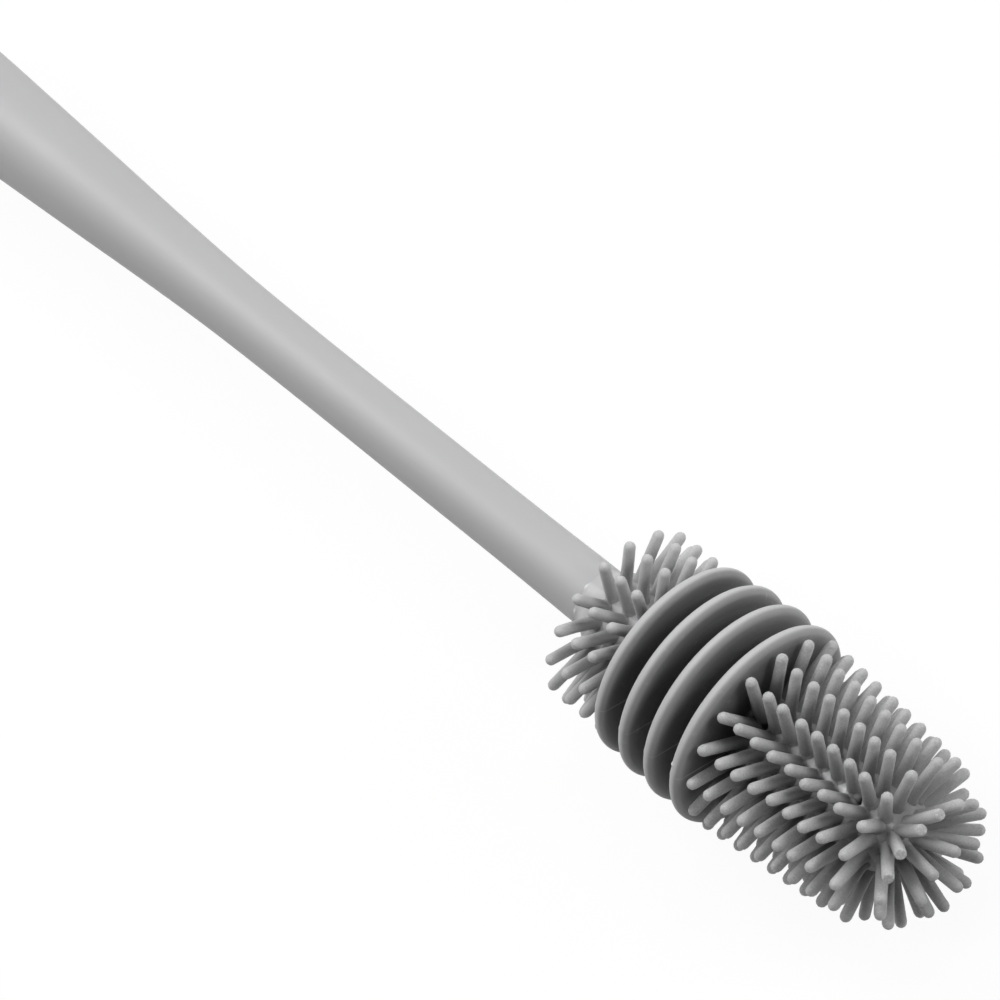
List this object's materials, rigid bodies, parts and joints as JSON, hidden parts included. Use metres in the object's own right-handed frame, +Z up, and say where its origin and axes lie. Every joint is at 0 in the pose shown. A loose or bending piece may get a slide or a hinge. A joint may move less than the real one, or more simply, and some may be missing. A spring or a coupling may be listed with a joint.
{
  "type": "bottle brush",
  "caption": "Bottle brush with a tapered round grip and a soft silicone head of wiping discs and short fingers that ends in a fingered dome.",
  "frame": {"origin": "middle of the bounding box, on the brush's axis", "axes": "+X along the brush from the grip's butt to the tip of the head, +Z up out of the side that the picture shows, +Y to its left"},
  "size_m": [0.3324, 0.0456, 0.0453],
  "materials": {
    "grip_plastic": "satin moulded plastic, cool light grey",
    "rod_steel": "plain drawn rod, hidden inside",
    "silicone": "matt moulded silicone, mid grey"
  },
  "bodies": {
    "root": {"grip": "grip_plastic", "core_rod": "rod_steel", "neck_fingers": "silicone", "disc_1": "silicone", "disc_2": "silicone", "disc_3": "silicone", "disc_4": "silicone", "front_fingers_1": "silicone", "front_fingers_2": "silicone", "front_fingers_3": "silicone", "front_fingers_4": "silicone", "tip_fingers": "silicone"}
  },
  "joints": []
}
